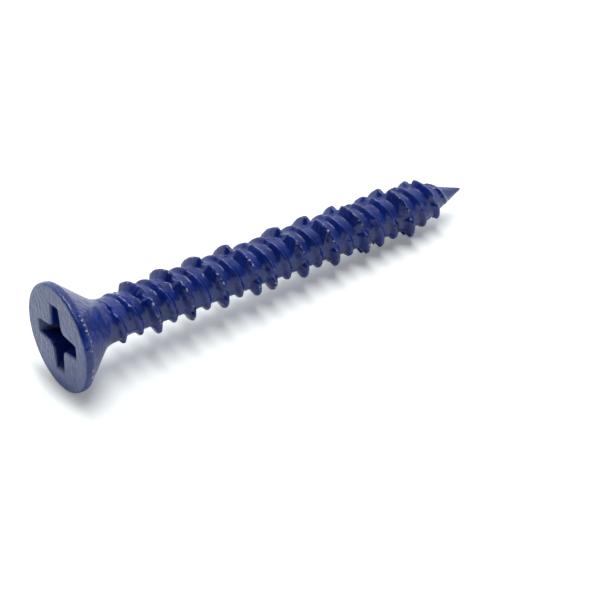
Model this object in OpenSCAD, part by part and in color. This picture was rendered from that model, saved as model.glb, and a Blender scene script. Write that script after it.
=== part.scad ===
// Flat countersunk concrete screw with a cross recess and a notched twin thread,
// made as one solid piece of steel under a blue coating.
// It lies on its rim and on one thread ridge, head to -X and point to +X, floor at z = 0.

/* [Screw] */

// length over all, from the head face to the point
length = 57.15; // [50:0.05:70]
// radius left at the very point
point_end_r = 0.14; // [0.08:0.01:0.3]

/* [Head] */

// head diameter over the rim
head_d = 12.9; // [11.5:0.1:13.5]
// height of the straight rim band, its rounded edge included
rim_h = 0.9; // [0.6:0.05:1.3]
// rounding of the rim at the face
rim_round = 0.28; // [0.1:0.02:0.4]
// full angle of the countersunk cone
cone_angle = 82; // [78:1:90]
// radius of the hollow where the cone runs into the neck
neck_fillet = 3; // [1.5:0.1:4]
// diameter of the plain neck under the head
neck_d = 5.3; // [5.1:0.05:5.6]

/* [Cross recess] */

// reach of the wings over the face, tip to tip
recess_d = 8.1; // [6.6:0.1:8.4]
// width of a wing at the face, in the middle of the recess
wing_w = 2.15; // [1.7:0.05:2.4]
// loss of wing width on the way out to its tip
wing_taper = 0.5; // [0:0.05:0.5]
// depth of the wings
recess_depth = 3.9; // [3:0.1:4.4]
// lean of the wing ends toward the axis
wing_lean = 26; // [20:1:28]
// lean of the wing sides
wing_draft = 4; // [2:0.5:6]
// diameter of the round well in the middle, at the face
well_d = 3.3; // [2.8:0.1:3.8]
// turn of the recess about the screw axis
recess_turn = -3; // [-45:1:45]

/* [Thread] */

// diameter of the high ridge
high_d = 7.1; // [6.7:0.05:7.4]
// diameter of the low ridge
low_d = 5.96; // [5.6:0.02:6.2]
// diameter between the ridges
root_d = 4.84; // [4.6:0.02:5]
// advance of one ridge in one turn
lead = 4.5; // [4.2:0.05:4.8]
// place of the high ridge on the upper side, counted from the head face
ridge_x = 1.12; // [0:0.01:2]
// width of a ridge at its foot
ridge_foot = 1.55; // [1.2:0.05:1.8]
// width of a ridge at its crest
ridge_crest = 0.3; // [0.2:0.02:0.5]
// place where the high and the low ridge change over
swap_x = 26.5; // [20:0.5:34]
// place where they change back
back_x = 43.3; // [40:0.1:46]
// length of each change
swap_len = 2.6; // [1:0.1:5]
// length over which the thread rises behind the neck
rise_len = 5.4; // [3:0.1:7]

/* [Notches] */

// notches in one turn of the high ridge
notch_count = 4; // [3:1:5]
// diameter at the bottom of a notch
notch_d = 5.75; // [5.4:0.05:6.2]
// opening of a notch at the crest, in degrees
notch_open = 30; // [20:1:36]
// turn of the first notch from the upper side where the thread starts, in degrees
notch_turn = 42; // [0:1:90]
// drift of the notches along the screw, in degrees for each millimetre
notch_drift = -2.6; // [-4:0.1:0]
// step of the notches at each change of the ridges, in degrees
notch_step = 24; // [0:1:36]

/* [Point] */

// length of the point cone
point_len = 6.4; // [5.5:0.1:8]
// length over which the thread sinks before the point cone
sink_len = 2.4; // [2:0.1:6]
// plain length of the point cone without thread
bare_len = 2.5; // [1.5:0.1:3]

/* [View] */

// what is shown: all, or one node by name

/* [Hidden] */

$fn = 64;
coat_blue = [0.10, 0.11, 0.38];

// head
head_r = head_d / 2;
neck_r = neck_d / 2;
face_r = head_r - rim_round;
half_cone = cone_angle / 2;
// end of the bare cone if it ran down to the neck with no hollow
cone_end = rim_h + (head_r - neck_r) / tan(half_cone);
// the hollow touches the cone and the neck at this distance from their corner
hollow_run = neck_fillet * tan(half_cone / 2);
neck_start = cone_end + hollow_run;
neck_end = neck_start + 0.25;
recess_reach = recess_d / 2;

// shank: it starts inside the hollow of the neck and is a hair thinner there
join_depth = 0.75;
join_gap = 0.02;
shank_start = neck_start - join_depth;
shank_join_r = neck_r - join_gap;
high_r = high_d / 2;
low_r = low_d / 2;
root_r = root_d / 2;
notch_r = notch_d / 2;
point_x = length - point_len;
thread_start = shank_start + 0.1;
thread_end = length - bare_len;

// columns round the shank, as angles from the middle of a notch
sector = 360 / notch_count;
lobe = sector - notch_open;
flat_half = lobe * 7 / 60;
lobe_mid = sector / 2;
sector_cols = [
    -notch_open / 2, -notch_open / 4, notch_open / 4, notch_open / 2,
    notch_open / 2 + lobe * 11 / 60, lobe_mid - flat_half,
    lobe_mid + flat_half, sector - notch_open / 2 - lobe * 11 / 60
];
cols_in_sector = len(sector_cols);
cols = notch_count * cols_in_sector;
function col_angle(j) = sector * floor(j / cols_in_sector) + sector_cols[j % cols_in_sector];

// rows along one turn: the foot and the crest edges of both ridges, as parts of the lead
foot = ridge_foot / lead / 2;
crest = ridge_crest / lead / 2;
row_part = [-foot, -crest, crest, foot, 0.5 - foot, 0.5 - crest, 0.5 + crest, 0.5 + foot];
row_high = [0, 1, 1, 0, 0, 1, 1, 0];
rows = len(row_part);
// middle of the first notch at a place along the screw
function ease(s) = let (t = min(1, max(0, s))) t * t * (3 - 2 * t);
function change(x, place) = ease((x - place) / swap_len + 0.5);
function notch_middle(x) =
    notch_turn + notch_drift * (x - thread_start)
    + notch_step * (change(x, swap_x) + change(x, back_x));
// the columns follow the notches, so a row's place is found in a few rounds
function place_of(turns, a, x, rounds) =
    rounds == 0 ? x
    : place_of(turns, a, ridge_x + lead * (turns + (a + notch_middle(x)) / 360), rounds - 1);
function row_x(i, a) =
    let (turns = floor(i / rows) + row_part[i - rows * floor(i / rows)])
    place_of(turns, a, ridge_x + lead * (turns + a / 360), 6);

// radius laws along the screw
function core_r(x) = lookup(x, [
    [shank_start, shank_join_r], [neck_end, shank_join_r], [neck_end + 1.2, root_r],
    [point_x, root_r], [length, point_end_r]]);
function thread_part(x) = lookup(x, [
    [thread_start, 0], [thread_start + 0.08 * rise_len, 0.45], [thread_start + 0.25 * rise_len, 0.52],
    [thread_start + 0.7 * rise_len, 0.95],
    [thread_start + rise_len, 1], [point_x - sink_len, 1], [point_x, 0.72],
    [thread_end - 1.6, 0.6], [thread_end, 0]]);
// the first ridge is high up to the first change and after the second, the other one between them
function ridge_r(second, x) =
    let (s = change(x, swap_x) - change(x, back_x), k = second ? s : 1 - s)
    low_r + (high_r - low_r) * k;
// a notch cuts the high ridge down to its floor
function notch_limit(a) =
    let (d = abs(a - sector * round(a / sector)), side = (d - notch_open / 4) / (notch_open / 4))
    d >= notch_open / 2 ? high_r : notch_r + (high_r - notch_r) * max(0, side);
function shank_r(i, j, x) =
    let (k = i - rows * floor(i / rows), a = col_angle(j))
    core_r(x) + row_high[k] * thread_part(x)
    * (min(ridge_r(k >= rows / 2, x), notch_limit(a)) - root_r);

// first and last row of each column, kept clear of the end rings
end_clear = 0.09;
row_first = floor((shank_start - ridge_x) / lead - 2.5) * rows;
row_last = ceil((length - ridge_x) / lead + 1.5) * rows;
function lowest(j, i) = row_x(i, col_angle(j)) > shank_start + end_clear ? i : lowest(j, i + 1);
function highest(j, i) = row_x(i, col_angle(j)) < length - end_clear ? i : highest(j, i - 1);
col_low = [for (j = [0:cols - 1]) lowest(j, row_first)];
col_high = [for (j = [0:cols - 1]) highest(j, row_last)];
function low_of(j) = j < cols ? col_low[j] : col_low[0] - rows;
function high_of(j) = j < cols ? col_high[j] : col_high[0] - rows;

// points: the helical grid, then the two end rings
function ring_point(x, r, a) =
    let (b = a + notch_middle(x)) [x, -r * sin(b), r * cos(b)];
// a row outside its column is not used, and is kept on the shank's ends
function grid_point(i, j) =
    let (a = col_angle(j), x = min(length, max(shank_start, row_x(i, a))))
    ring_point(x, shank_r(i, j, x), a);
grid = [for (i = [row_first:row_last]) for (j = [0:cols - 1]) grid_point(i, j)];
grid_n = len(grid);
start_ring = [for (j = [0:cols - 1]) ring_point(shank_start, shank_join_r, col_angle(j))];
end_ring = [for (j = [0:cols - 1]) ring_point(length, point_end_r, col_angle(j))];
// the last column joins the first one a whole turn further on
function at(i, j) = j < cols ? (i - row_first) * cols + j : (i + rows - row_first) * cols;
function start_at(j) = grid_n + j % cols;
function end_at(j) = grid_n + cols + j % cols;

// faces between column j and the next one
function side_faces(j) = [
    for (i = [max(low_of(j), low_of(j + 1)):min(high_of(j), high_of(j + 1)) - 1])
        each [[at(i, j), at(i + 1, j + 1), at(i, j + 1)], [at(i, j), at(i + 1, j), at(i + 1, j + 1)]]];
// at an end: a ring edge, then one step for each row that only one column has
function start_faces(j) =
    let (a = low_of(j), b = low_of(j + 1))
    concat(
        [[start_at(j), at(b, j + 1), start_at(j + 1)]],
        [for (i = [b:1:a - 1]) [start_at(j), at(i + 1, j + 1), at(i, j + 1)]],
        [[start_at(j), at(a, j), at(a, j + 1)]]);
function end_faces(j) =
    let (a = high_of(j), b = high_of(j + 1))
    concat(
        [[at(b, j), end_at(j + 1), at(b, j + 1)]],
        [for (i = [b:1:a - 1]) [at(i, j), at(i + 1, j), end_at(j + 1)]],
        [[at(a, j), end_at(j), end_at(j + 1)]]);
shank_faces = concat(
    [for (j = [0:cols - 1]) each side_faces(j)],
    [for (j = [0:cols - 1]) each start_faces(j)],
    [for (j = [0:cols - 1]) each end_faces(j)],
    [[for (j = [0:cols - 1]) start_at(j)]],
    [[for (j = [cols - 1:-1:0]) end_at(j)]]);

// rest: the rim's lower edge and the first ridge that meets the floor carry the screw
lean = min([for (p = grid) if (p.x > length / 2) atan((head_r + p.z) / (p.x - rim_h))]);
lift = rim_h * sin(lean) + head_r * cos(lean);
middle_x = (length * cos(lean) + point_end_r * sin(lean) - face_r * sin(lean)) / 2;

// outline of the head from the face to the end of the neck, as radius and distance
head_outline = concat(
    [[0, 0], [face_r, 0]],
    [for (a = [30:30:90]) [face_r + rim_round * sin(a), rim_round * (1 - cos(a))]],
    [[head_r, rim_h]],
    [for (k = [0:6]) let (a = half_cone * (1 - k / 6))
        [neck_r + neck_fillet * (1 - cos(a)), neck_start - neck_fillet * sin(a)]],
    [[neck_r, neck_end], [0, neck_end]]);

module head_blank() {
    rotate([0, 90, 0]) rotate_extrude() polygon(head_outline);
}

// one wing: width and reach fall with depth, so every side is flat
module wing() {
    over = 0.5;
    deep = recess_depth;
    reach_top = recess_reach + over * tan(wing_lean);
    reach_low = recess_reach - deep * tan(wing_lean);
    slope = wing_taper / 2 / recess_reach;
    w_top = wing_w / 2 + over * tan(wing_draft);
    w_low = wing_w / 2 - deep * tan(wing_draft);
    wt = w_top - slope * reach_top;
    wl = w_low - slope * reach_low;
    polyhedron(
        points = [
            [-over, -w_top, 0], [-over, w_top, 0], [-over, wt, reach_top], [-over, -wt, reach_top],
            [deep, -w_low, 0], [deep, w_low, 0], [deep, wl, reach_low], [deep, -wl, reach_low]],
        faces = [[0, 1, 2, 3], [7, 6, 5, 4], [0, 4, 5, 1], [1, 5, 6, 2], [2, 6, 7, 3], [3, 7, 4, 0]]);
}

module cross_recess() {
    over = 0.5;
    well_r = well_d / 2;
    fall = tan(14);
    low_well = well_r - recess_depth * fall;
    rotate([recess_turn, 0, 0]) {
        for (k = [0:3]) rotate([90 * k, 0, 0]) wing();
        translate([-over, 0, 0]) rotate([0, 90, 0])
            cylinder(h = over + recess_depth, r1 = well_r + over * fall, r2 = low_well);
        translate([recess_depth - 0.01, 0, 0]) rotate([0, 90, 0])
            cylinder(h = 0.35, r1 = low_well, r2 = 0.1);
    }
}

module shank() {
    polyhedron(points = concat(grid, start_ring, end_ring), faces = shank_faces, convexity = 8);
}

module concrete_screw() {
    color(coat_blue)
    translate([-middle_x, 0, lift]) rotate([0, lean, 0])
    union() {
        difference() {
            head_blank();
            cross_recess();
        }
        shank();
    }
}

concrete_screw();
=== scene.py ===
# %% [markdown]
# # A blue coated concrete screw
# This lesson dresses one solid, a countersunk concrete screw that lies on a white table.
# The solid from the frame already has the right sizes. Here the same form is worked out again
# as one fine surface, so that the coating can flow round every ridge, notch and edge.

# %% Load the frame
import bpy
import numpy as np
from mathutils import Matrix


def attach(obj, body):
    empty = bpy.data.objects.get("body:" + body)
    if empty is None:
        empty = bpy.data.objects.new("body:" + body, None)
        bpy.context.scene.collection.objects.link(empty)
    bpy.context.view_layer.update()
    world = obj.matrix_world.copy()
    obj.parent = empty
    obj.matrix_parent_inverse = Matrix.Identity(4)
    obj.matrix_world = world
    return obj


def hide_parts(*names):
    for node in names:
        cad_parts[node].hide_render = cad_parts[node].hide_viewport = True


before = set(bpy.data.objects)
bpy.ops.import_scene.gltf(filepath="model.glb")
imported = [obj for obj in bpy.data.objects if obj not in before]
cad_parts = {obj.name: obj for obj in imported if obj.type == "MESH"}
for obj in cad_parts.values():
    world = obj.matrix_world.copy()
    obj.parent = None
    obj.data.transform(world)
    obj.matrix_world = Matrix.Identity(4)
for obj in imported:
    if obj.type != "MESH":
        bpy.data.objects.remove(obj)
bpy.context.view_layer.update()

# %% [markdown]
# ## The sizes of the screw
# All lengths are in millimetres and are the ones the solid was built with. They are measured along
# the screw's own axis, from the head face to the point. Angles run round the axis from the upper
# side toward the viewer's side, the way a right-hand thread moves forward.

# %% Sizes
MM = 0.001
LENGTH = 57.15
POINT_END_R = 0.14
HEAD_R = 6.45
RIM_H = 0.9
RIM_ROUND = 0.28
HALF_CONE = np.radians(41.0)
NECK_FILLET = 3.0
NECK_R = 2.65
RECESS_REACH = 4.05
WING_HALF = 1.075
WING_TAPER = 0.25 / RECESS_REACH
RECESS_DEPTH = 3.9
WING_LEAN = np.tan(np.radians(26.0))
WING_DRAFT = np.tan(np.radians(4.0))
WELL_R = 1.65
WELL_FALL = np.tan(np.radians(14.0))
RECESS_TURN = np.radians(-3.0)
HIGH_R = 3.55
LOW_R = 2.98
ROOT_R = 2.42
NOTCH_R = 2.875
LEAD = 4.5
RIDGE_X = 1.12
SWAP_X = 26.5
BACK_X = 43.3
SWAP_LEN = 2.6
RISE_LEN = 5.4
NOTCH_TURN = np.radians(42.0)
NOTCH_DRIFT = np.radians(-2.6)
NOTCH_STEP = np.radians(24.0)
POINT_X = LENGTH - 6.4
SINK_LEN = 2.4
THREAD_END = LENGTH - 2.5
FACE_R = HEAD_R - RIM_ROUND
CONE_END = RIM_H + (HEAD_R - NECK_R) / np.tan(HALF_CONE)
NECK_START = CONE_END + NECK_FILLET * np.tan(HALF_CONE / 2)
NECK_END = NECK_START + 0.25
SHANK_START = NECK_START - 0.75
THREAD_START = SHANK_START + 0.1
LEAN = np.radians(3.51446)
LIFT = RIM_H * np.sin(LEAN) + HEAD_R * np.cos(LEAN)
MIDDLE_X = (LENGTH * np.cos(LEAN) + (POINT_END_R - FACE_R) * np.sin(LEAN)) / 2
print("neck from", round(NECK_START, 2), "to", round(NECK_END, 2), "mm, lean", round(np.degrees(LEAN), 2))

# %% [markdown]
# ## From the screw's axis to the table
# A lathe-like part is easy to describe by distance along the axis, radius and angle. One function
# turns those three into places on the table, with the small lean that the wide head causes.

# %% Placing


def on_table(x, r, a):
    """Point at distance x, radius r and angle a: turned about the axis, leaned nose down, lifted."""
    y = -r * np.sin(a)
    z = r * np.cos(a)
    along = x * np.cos(LEAN) + z * np.sin(LEAN) - MIDDLE_X
    up = LIFT - x * np.sin(LEAN) + z * np.cos(LEAN)
    return np.stack(np.broadcast_arrays(along, y, up), axis=-1) * MM


def ease(t):
    """Smooth step: 3 t squared minus 2 t cubed, between 0 and 1."""
    t = np.clip(t, 0.0, 1.0)
    return t * t * (3.0 - 2.0 * t)


def soft_max(a, b, k):
    """The larger of two values, with the corner rounded over a width k."""
    return 0.5 * (a + b + np.sqrt((a - b) ** 2 + k * k))


def soft_min(a, b, k):
    """The smaller of two values, with the corner rounded over a width k."""
    return 0.5 * (a + b - np.sqrt((a - b) ** 2 + k * k))


# %% [markdown]
# ## The columns of the surface
# The surface is a grid: columns run along the screw, rows run round it. The recess has sharp turns
# at its wing tips, so the columns crowd there. The same columns carry on over the cone and the shank,
# which keeps the skin in one piece from the bottom of the recess to the point.

# %% Columns
TIP_HALF = np.arctan((WING_HALF - WING_TAPER * RECESS_REACH) / RECESS_REACH)
HALF_SECTOR = np.concatenate([
    np.linspace(0.0, TIP_HALF, 9),
    np.linspace(TIP_HALF, np.pi / 4, 19)[1:],
])
SECTOR = np.concatenate([-HALF_SECTOR[:0:-1], HALF_SECTOR[:-1]])
COLUMNS = (SECTOR[None, :] + np.arange(4)[:, None] * np.pi / 2).ravel() + RECESS_TURN
N_COL = COLUMNS.size
print("columns round the screw:", N_COL)

# %% [markdown]
# ## Smooth unevenness
# A thick coating is never quite even. A handful of slow waves with fixed phases gives a soft,
# repeatable wobble that closes on itself round the screw. A seeded generator draws the phases once.

# %% Unevenness
rng = np.random.default_rng(41)
WAVES = 26
wave_turns = rng.integers(1, 12, WAVES)
wave_along = rng.normal(0.0, 2.4, WAVES)
wave_phase = rng.uniform(0.0, 2.0 * np.pi, WAVES)


def uneven(x, a):
    """Sum of sines in angle and distance, each with its own phase, scaled to about -1 to 1."""
    total = np.zeros(np.broadcast(x, a).shape)
    for turns, along, phase in zip(wave_turns, wave_along, wave_phase):
        total += np.sin(turns * a + along * x + phase)
    return total / np.sqrt(WAVES)


# %% [markdown]
# ## The head
# The head is one chain of rings. It starts at the bottom of the cross recess, climbs the recess
# walls, crosses the face, rolls over the rim, and runs down the cone into the neck.
# Inside the recess a ring is a cross and not a circle: each wing is bounded by its two sides and its
# leaning end, and the round well in the middle cuts the inner corners.

# %% The cross recess


def cross_radius(depth, a, grow):
    """Reach of the recess at an angle: the nearer of wing side and wing end, or the well if wider."""
    turn = np.abs((a - RECESS_TURN + np.pi / 4) % (np.pi / 2) - np.pi / 4)
    half = WING_HALF - depth * WING_DRAFT + grow
    side = half / (np.sin(turn) + WING_TAPER * np.cos(turn))
    end = (RECESS_REACH - depth * WING_LEAN + grow) / np.cos(turn)
    wing = soft_min(side, end, 0.22)
    return soft_max(wing, WELL_R - depth * WELL_FALL + grow, 0.34)


floor_part = np.array([0.0, 0.25, 0.5, 0.75, 0.9, 1.0])
floor_depth = RECESS_DEPTH + 0.35 * (1.0 - floor_part)
wall_depth = np.array([3.82, 3.6, 3.2, 2.7, 2.2, 1.7, 1.25, 0.85, 0.5, 0.32, 0.24])
lip_depth = np.array([0.17, 0.11, 0.06, 0.025, 0.007, 0.0])
lip_grow = np.array([0.01, 0.035, 0.075, 0.13, 0.18, 0.24])
recess_x = np.concatenate([floor_depth, wall_depth, lip_depth])[:, None]
recess_part = np.concatenate([floor_part, np.ones(wall_depth.size + lip_depth.size)])[:, None]
recess_grow = np.concatenate([np.full(floor_part.size, -0.1), np.zeros(wall_depth.size), lip_grow])[:, None]
recess_r = recess_part * cross_radius(np.minimum(recess_x, RECESS_DEPTH), COLUMNS[None, :], recess_grow)
print("recess rings:", recess_x.size, "widest reach", round(float(recess_r.max()), 2), "mm")

# %% [markdown]
# The face is filled by rings that change from the cross to a circle. The rim, the cone and the
# hollow under it are a turned outline. Its rings are the same all round, apart from the coating.

# %% Face, rim, cone and neck
face_part = np.linspace(0.0, 1.0, 12)[1:, None] ** 0.8
face_r = recess_r[-1][None, :] * (1.0 - face_part) + FACE_R * face_part
face_x = np.zeros((face_part.size, 1))

roll = np.radians(np.array([18.0, 36.0, 54.0, 72.0, 90.0]))
edge = 0.1
rim_x = np.concatenate([RIM_ROUND * (1.0 - np.cos(roll)), [0.45, 0.62, RIM_H - edge, RIM_H - 0.03]])
rim_r = np.concatenate([FACE_R + RIM_ROUND * np.sin(roll), [HEAD_R, HEAD_R, HEAD_R - 0.005, HEAD_R - 0.04]])
rim_r = rim_r - 0.01
cone_top = RIM_H + 0.07
bend = np.linspace(HALF_CONE, np.arcsin((NECK_START - SHANK_START) / NECK_FILLET), 12)
hollow_x = NECK_START - NECK_FILLET * np.sin(bend)
hollow_r = NECK_R + NECK_FILLET * (1.0 - np.cos(bend))
cone_x = np.linspace(cone_top, hollow_x[0], 14)[:-1]
cone_r = HEAD_R - (cone_x - RIM_H) * np.tan(HALF_CONE)
turned_x = np.concatenate([rim_x, cone_x, hollow_x])[:, None]
turned_r = np.concatenate([rim_r, cone_r, hollow_r])[:, None]
coat_dip = 0.02 * (1.0 + uneven(turned_x * 0.8, COLUMNS[None, :]))
turned_r = turned_r - coat_dip * ease((turned_x - 0.7) / 0.6)
head_x = np.concatenate([np.broadcast_to(v, (v.shape[0], N_COL)) for v in (recess_x, face_x, turned_x)])
head_r = np.concatenate([recess_r, face_r, turned_r])
print("head rings:", head_x.shape[0])

# %% [markdown]
# ## The threaded shank
# Two ridges wind round the shank side by side, a high one and a low one. On the real screw both are
# rolled in one pass between two dies. Half-way along they change places, and near the point they
# change back. Notches cut the high ridge into rounded lobes that help it to bite into concrete.
# If the rows ran straight round the shank, a slanted ridge would come out as a row of beads.
# So the rows follow the ridges: each row is a helix, and the grid closes one turn further on.

# %% Thread law


def core_radius(x):
    """Neck, then root, then the point cone: straight stretches between named places."""
    places = [NECK_END, NECK_END + 0.2, NECK_END + 1.2, POINT_X - 0.4, POINT_X + 0.4, LENGTH]
    slope = (ROOT_R - POINT_END_R) / (LENGTH - POINT_X)
    radii = [NECK_R - 0.02, NECK_R - 0.05, ROOT_R, ROOT_R - 0.02, ROOT_R - 0.4 * slope - 0.02, POINT_END_R]
    return np.interp(x, places, radii)


def hollow_radius(x):
    """Radius of the hollow under the cone: a circle arc that ends in the neck."""
    back = np.clip(NECK_START - x, 0.0, 0.99 * NECK_FILLET)
    arc = NECK_R + NECK_FILLET - np.sqrt(NECK_FILLET ** 2 - back ** 2)
    return np.where(x < NECK_END, arc, 0.0)


def thread_part(x):
    """Share of the full ridge height: rises behind the neck, sinks before the point."""
    places = [
        THREAD_START, THREAD_START + 0.08 * RISE_LEN, THREAD_START + 0.25 * RISE_LEN,
        THREAD_START + 0.7 * RISE_LEN, THREAD_START + RISE_LEN, POINT_X - SINK_LEN, POINT_X,
        THREAD_END - 1.6, THREAD_END,
    ]
    return np.interp(x, places, [0.0, 0.45, 0.52, 0.95, 1.0, 1.0, 0.72, 0.6, 0.0])


def change(x, place):
    """Smooth change from 0 to 1 round a place along the screw."""
    return ease((x - place) / SWAP_LEN + 0.5)


def notch_limit(a, x):
    """Highest radius a notch leaves: its floor in the middle, the full ridge at its shoulders."""
    step = change(x, SWAP_X) + change(x, BACK_X)
    middle = NOTCH_TURN + NOTCH_DRIFT * (x - THREAD_START) + NOTCH_STEP * step
    turn = np.abs((a - middle + np.pi / 4) % (np.pi / 2) - np.pi / 4)
    ragged = 1.0 + 0.08 * uneven(x * 0.6 + 3.0, a)
    open_part = ease((np.degrees(turn) / ragged - 4.0) / 12.5)
    return NOTCH_R + (HIGH_R - NOTCH_R) * open_part


def ridge_shape(d, height):
    """Cross-section of a ridge: straight flanks, a rounded crest, and a foot filled by the coating."""
    foot = 0.40 + 0.32 * height
    crest = 0.16
    t = (foot - np.abs(d)) / (foot - crest)
    return soft_min(soft_max(t, 0.0, 0.10), 1.0, 0.14)


def shank_radius(x, a):
    """Core plus two ridges half a lead apart, one high and one low, which change places twice."""
    turns = (x - RIDGE_X) / LEAD - a / (2.0 * np.pi)
    swap = change(x, SWAP_X) - change(x, BACK_X)
    wear = 1.0 - 0.03 * (0.5 + 0.5 * uneven(x * 1.7, 3.0 * a))
    part = thread_part(x) * wear
    radius = core_radius(x)
    limit = notch_limit(a, x)
    crest_mark = np.zeros_like(radius)
    for shift, share in ((0.0, 1.0 - swap), (0.5, swap)):
        d = (turns - shift - np.round(turns - shift)) * LEAD
        full = LOW_R + (HIGH_R - LOW_R) * share
        height = (soft_min(full, limit, 0.04) - ROOT_R) * part
        shape = ridge_shape(d, height)
        radius = radius + height * shape
        crest_mark = np.maximum(crest_mark, shape * np.clip(height / 1.0, 0.0, 1.0))
    coat = 0.012 * (1.0 + uneven(x, a))
    radius = np.maximum(radius, hollow_radius(x))
    return radius - coat * ease((x - NECK_END) / 0.8), crest_mark


# %% [markdown]
# The rows crowd at the crests and the feet of the ridges. Rows that would start before the neck or
# end after the point are held at those places, and the points that fall together there are merged.

# %% Shank grid
half_rows = np.array([
    -0.25, -0.205, -0.175, -0.145, -0.115, -0.085, -0.058, -0.036, -0.014,
    0.014, 0.036, 0.058, 0.085, 0.115, 0.145, 0.175, 0.205,
])
row_part = np.concatenate([half_rows, half_rows + 0.5])
ROWS = row_part.size
first_turn = int(np.floor((SHANK_START - RIDGE_X) / LEAD)) - 3
last_turn = int(np.ceil((LENGTH - RIDGE_X) / LEAD)) + 3
turn_list = np.arange(first_turn, last_turn + 1)
row_turns = (turn_list[:, None] + row_part[None, :]).ravel()
POINT_STOP = LENGTH - 0.05
shank_x = RIDGE_X + LEAD * (row_turns[:, None] + COLUMNS[None, :] / (2.0 * np.pi))
shank_x = np.clip(shank_x, SHANK_START, POINT_STOP)
shank_r, shank_crest = shank_radius(shank_x, COLUMNS[None, :])
shank_r = np.where(shank_x <= SHANK_START, head_r[-1][None, :], shank_r)
print("shank rows:", shank_x.shape[0], "highest ridge", round(float(shank_r.max()), 3), "mm")

# %% [markdown]
# ## One closed skin
# The head rings and the shank rows become one mesh. The point is closed by a small cap. The grid of
# the shank joins its last column to its first one a whole turn further on, as a real thread does.

# %% Faces


def ring_quads(first, second):
    """Quads between two rings of vertex numbers, closed round the screw."""
    return np.stack([first, np.roll(first, -1), np.roll(second, -1), second], axis=-1)


head_id = np.arange(head_x.size).reshape(head_x.shape)
shank_id = np.arange(shank_x.size).reshape(shank_x.shape) + head_x.size
cap_r = np.array([0.8, 0.45, 0.0])[:, None] * np.broadcast_to(shank_r[-1], (3, N_COL))
cap_x = np.broadcast_to(np.array([LENGTH - 0.02, LENGTH - 0.005, LENGTH])[:, None], (3, N_COL))
cap_id = np.arange(cap_x.size).reshape(cap_x.shape) + head_x.size + shank_x.size

quads = [ring_quads(head_id[i], head_id[i + 1]) for i in range(head_id.shape[0] - 1)]
quads.append(ring_quads(head_id[-1], shank_id[0]))
inner = np.stack([
    shank_id[:-1, :-1], shank_id[:-1, 1:], shank_id[1:, 1:], shank_id[1:, :-1],
], axis=-1)
quads.append(inner.reshape(-1, 4))
seam = np.stack([
    shank_id[:-1 - ROWS, -1], shank_id[ROWS:-1, 0], shank_id[ROWS + 1:, 0], shank_id[1:-ROWS, -1],
], axis=-1)
quads.append(seam)
quads.append(ring_quads(shank_id[-1], cap_id[0]))
quads += [ring_quads(cap_id[i], cap_id[i + 1]) for i in range(2)]
quads = np.concatenate(quads)

flat_x = np.concatenate([head_x.ravel(), shank_x.ravel(), cap_x.ravel()])
flat_r = np.concatenate([head_r.ravel(), shank_r.ravel(), cap_r.ravel()])
flat_a = np.concatenate([
    np.broadcast_to(COLUMNS, head_x.shape).ravel(),
    np.broadcast_to(COLUMNS, shank_x.shape).ravel(),
    np.broadcast_to(COLUMNS, cap_x.shape).ravel(),
])
crest = np.concatenate([np.zeros(head_x.size), shank_crest.ravel(), np.zeros(cap_x.size)])
points = on_table(flat_x, flat_r, flat_a)
print("points before merging:", len(points), "quads:", len(quads))

# %% [markdown]
# Points that share a place become one point. A quad that has lost a corner is now a triangle, and
# one that has lost two is gone. This closes the recess floor, the joint at the neck and the point.

# %% Merge


def weld(points, quads, step):
    """Round each place to a step, keep one point for each, and drop the corners that coincide."""
    keys = np.round(points / step).astype(np.int64)
    _, keep, back = np.unique(keys, axis=0, return_index=True, return_inverse=True)
    welded = back.reshape(-1)[quads]
    lost = welded == np.roll(welded, -1, axis=1)
    count = lost.sum(axis=1)
    whole = welded[count == 0]
    whole = whole[(whole[:, 0] != whole[:, 2]) & (whole[:, 1] != whole[:, 3])]
    three = welded[count == 1][~lost[count == 1]].reshape(-1, 3)
    return keep, whole, three


keep, whole, three = weld(points, quads, 2.0e-7)
used = np.unique(np.concatenate([whole.ravel(), three.ravel()]))
number = np.full(keep.size, -1)
number[used] = np.arange(used.size)
keep = keep[used]
whole = number[whole]
three = number[three]
print("points after merging:", keep.size)

# %% [markdown]
# The arrays go into the mesh in one step each, which is quick even for a hundred thousand faces.
# All faces are smooth, because a thick coating leaves no hard edge on the real screw.

# %% Build


def build_mesh(name, points, whole, three):
    """Mesh from arrays of points, four-corner faces and three-corner faces, smooth all over."""
    mesh = bpy.data.meshes.new(name)
    loops = np.concatenate([whole.ravel(), three.ravel()])
    sizes = np.concatenate([np.full(len(whole), 4), np.full(len(three), 3)])
    starts = np.concatenate([[0], np.cumsum(sizes)[:-1]])
    mesh.vertices.add(len(points))
    mesh.vertices.foreach_set("co", points.astype(np.float32).ravel())
    mesh.loops.add(len(loops))
    mesh.loops.foreach_set("vertex_index", loops.astype(np.int32))
    mesh.polygons.add(len(sizes))
    mesh.polygons.foreach_set("loop_start", starts.astype(np.int32))
    mesh.polygons.foreach_set("use_smooth", np.ones(len(sizes), dtype=bool))
    mesh.update(calc_edges=True)
    mesh.validate()
    return mesh


mesh = build_mesh("coated_screw", points[keep], whole, three)
screw = bpy.data.objects.new("coated_screw", mesh)
bpy.context.scene.collection.objects.link(screw)
print("skin:", len(mesh.vertices), "points,", 2 * len(whole) + len(three), "triangles")

# %% [markdown]
# ## Marks for the finish
# Wear follows the form: paint goes first from crests and edges. The flat face is marked as well, for the
# painted reflection laid on it.
# Each such place is stored as a number on the points, so that the finish can find it later.
# Two larger chips on the lower crests have their own named places.

# %% Marks


def add_mark(mesh, name, values):
    """One number per point, stored for the finish to read."""
    mark = mesh.attributes.new(name, "FLOAT", "POINT")
    mark.data.foreach_set("value", values.astype(np.float32))


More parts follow.
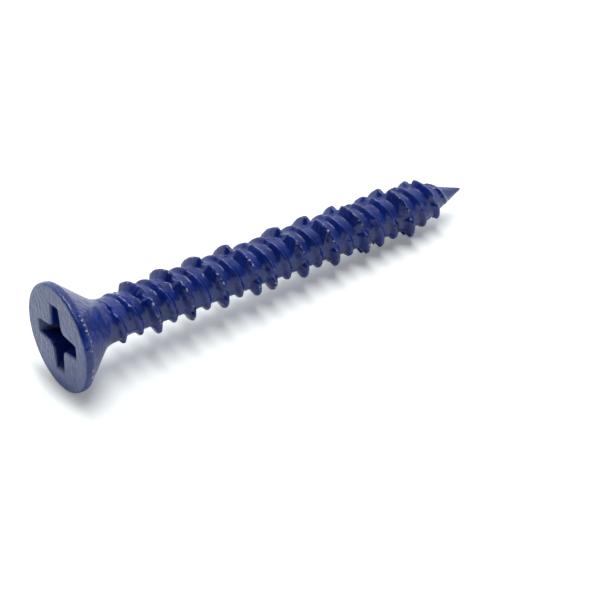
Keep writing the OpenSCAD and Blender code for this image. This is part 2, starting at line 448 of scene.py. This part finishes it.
outer = flat_r > HEAD_R - 0.25
rim_edge = np.exp(-((flat_x - RIM_H) / 0.16) ** 2) * outer
head_part = 1.0 - ease((flat_x - CONE_END + 0.6) / 1.2)
CHIPS = ((16.3, 126.0), (27.55, 126.0))


def chip_field(x, a, places):
    """Soft spots of missing paint: one bell-shaped hill for each place and angle."""
    total = np.zeros(x.shape)
    for chip_x, chip_turn in places:
        off = (a - np.radians(chip_turn) + np.pi) % (2.0 * np.pi) - np.pi
        total = np.maximum(total, np.exp(-((x - chip_x) / 0.30) ** 2 - (off / 0.16) ** 2))
    return total


chip = chip_field(flat_x, flat_a, CHIPS)
# The flat face mark: where the coating gets its painted reflection.
flat_face = 1.0 - ease((flat_x - 0.02) / 0.12)
add_mark(mesh, "crest", crest[keep])
add_mark(mesh, "rim_edge", rim_edge[keep])
add_mark(mesh, "head_part", head_part[keep])
add_mark(mesh, "chip", chip[keep])
add_mark(mesh, "flat_face", flat_face[keep])
print("marks:", [mark.name for mark in mesh.attributes if mark.domain == "POINT"])

# %% [markdown]
# ## Helpers for the finish
# A finish is a small graph of nodes. Four helpers add a node, a noise, a change of range and a sum
# or product, so that each later line says one thing about the paint.

# %% Shader helpers


def node(tree, kind, x, y, **settings):
    """Add a shader node, place it in the editor and set its plain properties."""
    made = tree.nodes.new(kind)
    made.location = (x, y)
    for key, value in settings.items():
        setattr(made, key, value)
    return made


def noise(tree, x, y, vector, scale, detail, rough):
    """Noise node with its scale in features for each metre."""
    made = node(tree, "ShaderNodeTexNoise", x, y)
    made.inputs["Scale"].default_value = scale
    made.inputs["Detail"].default_value = detail
    made.inputs["Roughness"].default_value = rough
    tree.links.new(vector, made.inputs["Vector"])
    return made.outputs["Fac"]


def spread(tree, x, y, value, low, high, to_low, to_high):
    """Map a value from one range to another, held at the ends."""
    made = node(tree, "ShaderNodeMapRange", x, y)
    made.inputs["From Min"].default_value = low
    made.inputs["From Max"].default_value = high
    made.inputs["To Min"].default_value = to_low
    made.inputs["To Max"].default_value = to_high
    tree.links.new(value, made.inputs["Value"])
    return made.outputs["Result"]


def combine(tree, x, y, operation, first, second):
    """Two values joined by a sum, a product or the like; the second may be a plain number."""
    made = node(tree, "ShaderNodeMath", x, y, operation=operation)
    tree.links.new(first, made.inputs[0])
    if isinstance(second, float):
        made.inputs[1].default_value = second
    else:
        tree.links.new(second, made.inputs[1])
    return made.outputs[0]


# %% [markdown]
# ## The blue coating
# The real coating is a thick glossy paint, deep blue where it faces the light head on and pale where
# it mirrors the white room at a slant. It is built as layers of noise in object space: a slow change
# of tone, a fine orange peel, and drawn-out streaks on the face and on the cone.

# %% Coating base
coat = bpy.data.materials.new("blue_coat")
coat.use_nodes = True
tree = coat.node_tree
tree.nodes.clear()
out = node(tree, "ShaderNodeOutputMaterial", 1400, 0)
paint = node(tree, "ShaderNodeBsdfPrincipled", 1100, 0)
tree.links.new(paint.outputs["BSDF"], out.inputs["Surface"])
paint.inputs["IOR"].default_value = 1.5
paint.inputs["Specular IOR Level"].default_value = 0.5

place = node(tree, "ShaderNodeTexCoord", -1400, 0).outputs["Object"]
tone = noise(tree, -900, 500, place, 420.0, 5.0, 0.6)
ramp = node(tree, "ShaderNodeValToRGB", -500, 500)
ramp.color_ramp.elements[0].position = 0.32
ramp.color_ramp.elements[0].color = (0.0022, 0.0130, 0.128, 1.0)
ramp.color_ramp.elements[1].position = 0.72
ramp.color_ramp.elements[1].color = (0.0052, 0.0275, 0.245, 1.0)
tree.links.new(tone, ramp.inputs["Fac"])
print("coating starts with", len(tree.nodes), "nodes")

# %% [markdown]
# A pale blue is mixed in by noise, on the flat face only. It is a painted reflection of the white room,
# which makes the face look pale and a little chalky.

# %% Painted reflection on the face
face_mark = node(tree, "ShaderNodeAttribute", -1200, 350, attribute_name="flat_face").outputs["Fac"]
# Noise in patches sets how much painted reflection the flat face gets.
face_reflection_noise = noise(tree, -900, 300, place, 1300.0, 4.0, 0.6)
face_reflection_share = spread(tree, -650, 300, face_reflection_noise, 0.35, 0.68, 0.06, 0.24)
face_reflection_part = combine(tree, -350, 300, "MULTIPLY", face_reflection_share, face_mark)
# The pale blue mixed in here is a painted reflection on the flat face.
face_reflection_mix = node(tree, "ShaderNodeMix", 50, 400, data_type="RGBA")
face_reflection_mix.inputs["B"].default_value = (0.26, 0.36, 0.62, 1.0)
tree.links.new(face_reflection_part, face_reflection_mix.inputs["Factor"])
tree.links.new(ramp.outputs["Color"], face_reflection_mix.inputs["A"])
# Painted reflection on the face done.
print("painted_reflection face done")

# %% [markdown]
# Handling has knocked tiny specks off the paint. They lie on the crests of the thread and along the
# edge between rim and cone, and they are pale because primer and metal show there. The marks stored
# on the mesh say where an edge is; noise decides which grains of it are bare.

# %% Specks and chips
crest_mark = node(tree, "ShaderNodeAttribute", -1200, 150, attribute_name="crest").outputs["Fac"]
edge_mark = node(tree, "ShaderNodeAttribute", -1200, -50, attribute_name="rim_edge").outputs["Fac"]
chip_mark = node(tree, "ShaderNodeAttribute", -1200, -250, attribute_name="chip").outputs["Fac"]
grain = noise(tree, -1200, -450, place, 2900.0, 2.0, 0.5)
patch = noise(tree, -1200, -650, place, 700.0, 2.0, 0.5)
crest_wear = spread(tree, -950, 150, crest_mark, 0.80, 0.97, 0.0, 0.8)
edge_wear = spread(tree, -950, -50, edge_mark, 0.15, 0.6, 0.0, 1.0)
wear = combine(tree, -750, 50, "MAXIMUM", crest_wear, edge_wear)
grain_spot = spread(tree, -950, -450, grain, 0.575, 0.64, 0.0, 1.0)
patch_spot = spread(tree, -950, -650, patch, 0.36, 0.50, 0.0, 1.0)
spot = combine(tree, -750, -550, "MULTIPLY", grain_spot, patch_spot)
speck = combine(tree, -550, -100, "MULTIPLY", wear, spot)
chip_grain = combine(tree, -550, -250, "MULTIPLY", chip_mark, grain)
chip_spot = spread(tree, -350, -250, chip_grain, 0.22, 0.34, 0.0, 1.0)
bare = combine(tree, 50, 0, "MAXIMUM", speck, chip_spot)
tint = node(tree, "ShaderNodeMix", 300, 300, data_type="RGBA")
tint.inputs["B"].default_value = (0.47, 0.46, 0.40, 1.0)
tree.links.new(bare, tint.inputs["Factor"])
tree.links.new(face_reflection_mix.outputs["Result"], tint.inputs["A"])
tree.links.new(tint.outputs["Result"], paint.inputs["Base Color"])
print("specks and chips done")

# %% [markdown]
# Gloss and relief: the paint is shiny, a little duller where it ran thin. On the face and on the
# cone it was drawn out into streaks, which are the same noise squeezed along one direction.

# %% Gloss and relief
gloss = spread(tree, 300, -150, tone, 0.3, 0.75, 0.09, 0.22)
tree.links.new(gloss, paint.inputs["Roughness"])
squeeze = node(tree, "ShaderNodeMapping", -1200, -900)
squeeze.inputs["Scale"].default_value = (0.35, 1.0, 0.30)
tree.links.new(place, squeeze.inputs["Vector"])
streak = noise(tree, -900, -900, squeeze.outputs["Vector"], 2600.0, 4.0, 0.6)
head_mark = node(tree, "ShaderNodeAttribute", -1200, -1150, attribute_name="head_part").outputs["Fac"]
streak_part = combine(tree, -600, -1000, "MULTIPLY", streak, head_mark)
peel = noise(tree, -900, -1300, place, 1500.0, 4.0, 0.55)
relief = combine(tree, -300, -1100, "ADD", streak_part, peel)
bump = node(tree, "ShaderNodeBump", 300, -900)
bump.inputs["Strength"].default_value = 0.75
bump.inputs["Distance"].default_value = 0.00014
tree.links.new(relief, bump.inputs["Height"])
tree.links.new(bump.outputs["Normal"], paint.inputs["Normal"])
mesh.materials.append(coat)
print("coating nodes:", len(tree.nodes))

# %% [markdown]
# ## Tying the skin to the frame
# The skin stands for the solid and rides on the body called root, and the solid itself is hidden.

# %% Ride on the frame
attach(screw, "root")
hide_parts("concrete_screw")
print("skin tied to the frame:", screw.name)

# %% [markdown]
# ## The table
# The screw lies on a plain white table. The table takes the shadow, and a little light of its own,
# seen by the camera alone, keeps the paper white around it.

# %% Table
floor_mesh = bpy.data.meshes.new("white_table")
REACH = 0.9
floor_mesh.from_pydata(
    [(-REACH, -REACH, 0.0), (REACH, -REACH, 0.0), (REACH, REACH, 0.0), (-REACH, REACH, 0.0)],
    [], [(0, 1, 2, 3)],
)
floor = bpy.data.objects.new("white_table", floor_mesh)
bpy.context.scene.collection.objects.link(floor)
white = bpy.data.materials.new("white_table")
white.use_nodes = True
ft = white.node_tree
ft.nodes.clear()
f_out = node(ft, "ShaderNodeOutputMaterial", 600, 0)
f_sum = node(ft, "ShaderNodeAddShader", 400, 0)
f_white = node(ft, "ShaderNodeBsdfDiffuse", 100, 100)
f_white.inputs["Color"].default_value = (0.935, 0.965, 0.96, 1.0)
f_glow = node(ft, "ShaderNodeEmission", 100, -100)
f_glow.inputs["Color"].default_value = (0.98, 1.0, 1.0, 1.0)
f_ray = node(ft, "ShaderNodeLightPath", -300, -100).outputs["Is Camera Ray"]
ft.links.new(combine(ft, -100, -100, "MULTIPLY", f_ray, 0.17), f_glow.inputs["Strength"])
ft.links.new(f_white.outputs["BSDF"], f_sum.inputs[0])
ft.links.new(f_glow.outputs["Emission"], f_sum.inputs[1])
ft.links.new(f_sum.outputs["Shader"], f_out.inputs["Surface"])
floor_mesh.materials.append(white)
print("table", 2 * REACH, "m wide")

# %% [markdown]
# ## The light
# Glossy paint shows what it mirrors. The room is pale above and behind and dark on the side of the
# camera, which keeps the near flanks of the thread deep blue. A wide lamp softens the shadow, and a
# long narrow lamp across the screw draws thin bright lines along the crests.

# %% Light
DARK_SIDE = (-0.52, -0.79, 0.33)
WORLD_LIGHT = 1.15
WORLD_DARK = 0.03
scene = bpy.context.scene
world = bpy.data.worlds.new("white_room")
scene.world = world
world.use_nodes = True
wt = world.node_tree
wt.nodes.clear()
w_out = node(wt, "ShaderNodeOutputWorld", 600, 0)
w_back = node(wt, "ShaderNodeBackground", 300, 0)
w_back.inputs["Color"].default_value = (0.975, 1.0, 0.99, 1.0)
w_place = node(wt, "ShaderNodeTexCoord", -600, 0).outputs["Generated"]
w_dot = node(wt, "ShaderNodeVectorMath", -350, 0, operation="DOT_PRODUCT")
w_dot.inputs[1].default_value = DARK_SIDE
wt.links.new(w_place, w_dot.inputs[0])
w_level = spread(wt, -50, 0, w_dot.outputs["Value"], -0.28, 0.62, WORLD_LIGHT, WORLD_DARK)
wt.links.new(w_level, w_back.inputs["Strength"])
wt.links.new(w_back.outputs["Background"], w_out.inputs["Surface"])


def soft_lamp(name, place, target, size, watts):
    """Lamp panel of a given width and depth at a place, turned so that it shines at the target."""
    data = bpy.data.lights.new(name, "AREA")
    data.shape = "RECTANGLE"
    data.size = size[0]
    data.size_y = size[1]
    data.energy = watts
    lamp = bpy.data.objects.new(name, data)
    away = np.array(place) - np.array(target)
    away = away / np.linalg.norm(away)
    side = np.cross([0.0, 1.0, 0.0] if abs(away[2]) > 0.9 else [0.0, 0.0, 1.0], away)
    side = side / np.linalg.norm(side)
    up = np.cross(away, side)
    turn = np.eye(4)
    turn[:3, 0], turn[:3, 1], turn[:3, 2], turn[:3, 3] = side, up, away, place
    lamp.matrix_world = Matrix(turn.tolist())
    bpy.context.scene.collection.objects.link(lamp)
    return lamp


key = soft_lamp("key_lamp", (-0.06, 0.14, 0.50), (0.0, 0.0, 0.0), (0.55, 0.55), 0.20)
strip = soft_lamp("strip_lamp", (0.04, 0.0, 0.46), (0.0, 0.0, 0.0), (0.07, 0.42), 1.45)
print("lamps:", key.name, strip.name)

# %% [markdown]
# ## The camera
# The camera was worked out from the outline of the screw: its place, the way it looks, and its focal
# length in picture widths. The turn is put together from the view direction and the picture's right.

# %% Camera
CAMERA_PLACE = np.array([-105.384, -165.572, 131.627]) * MM
CAMERA_RIGHT = np.array([0.81050, -0.58279, -0.05870])
CAMERA_AHEAD = np.array([0.45629, 0.69104, -0.56059])
FOCAL_PIXELS = 2000.2
IMAGE_WIDTH = 600.0
SENSOR = 36.0
ahead = CAMERA_AHEAD / np.linalg.norm(CAMERA_AHEAD)
right = CAMERA_RIGHT - ahead * np.dot(CAMERA_RIGHT, ahead)
right = right / np.linalg.norm(right)
up = np.cross(right, ahead)
view = np.eye(4)
view[:3, 0], view[:3, 1], view[:3, 2], view[:3, 3] = right, up, -ahead, CAMERA_PLACE
cam_data = bpy.data.cameras.new("photo_camera")
cam_data.sensor_fit = "HORIZONTAL"
cam_data.sensor_width = SENSOR
cam_data.lens = FOCAL_PIXELS / IMAGE_WIDTH * SENSOR
cam_data.clip_start = 0.01
camera = bpy.data.objects.new("photo_camera", cam_data)
camera.matrix_world = Matrix(view.tolist())
scene.collection.objects.link(camera)
scene.camera = camera
scene.view_settings.view_transform = "Standard"
print("lens", round(cam_data.lens, 1), "mm")

# %% [markdown]
# ## Finish
# The box of the dressed screw must lie within the box of the solid.

# %% Finish
bpy.context.view_layer.update()
